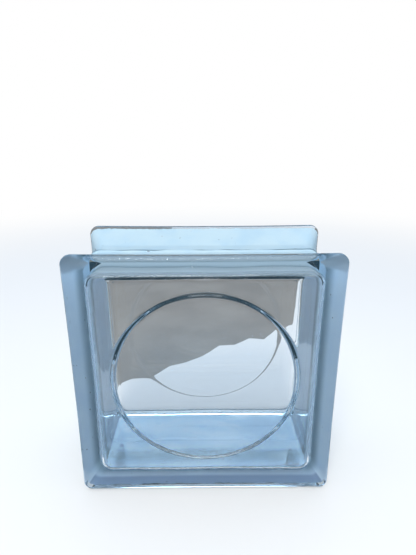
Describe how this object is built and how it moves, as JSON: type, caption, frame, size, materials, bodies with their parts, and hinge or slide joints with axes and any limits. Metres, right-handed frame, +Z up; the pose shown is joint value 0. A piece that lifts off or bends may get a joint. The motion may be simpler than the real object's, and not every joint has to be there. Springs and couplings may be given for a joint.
{
  "type": "hollow glass block",
  "caption": "Hollow square glass block for light-passing walls, with a round recess pressed inside each face and a mortar channel round its edges.",
  "frame": {"origin": "middle of the footprint that the block stands on, in the plane of the fused seam", "axes": "+Z up through the block's height, +X along its width, +Y through its thickness from the front face to the rear face"},
  "size_m": [0.197, 0.098, 0.197],
  "materials": {
    "glass": "clear pressed glass, fire-polished, with a faint blue-green cast in its thick parts"
  },
  "bodies": {
    "root": {"front_half": "glass", "rear_half": "glass"}
  },
  "joints": []
}
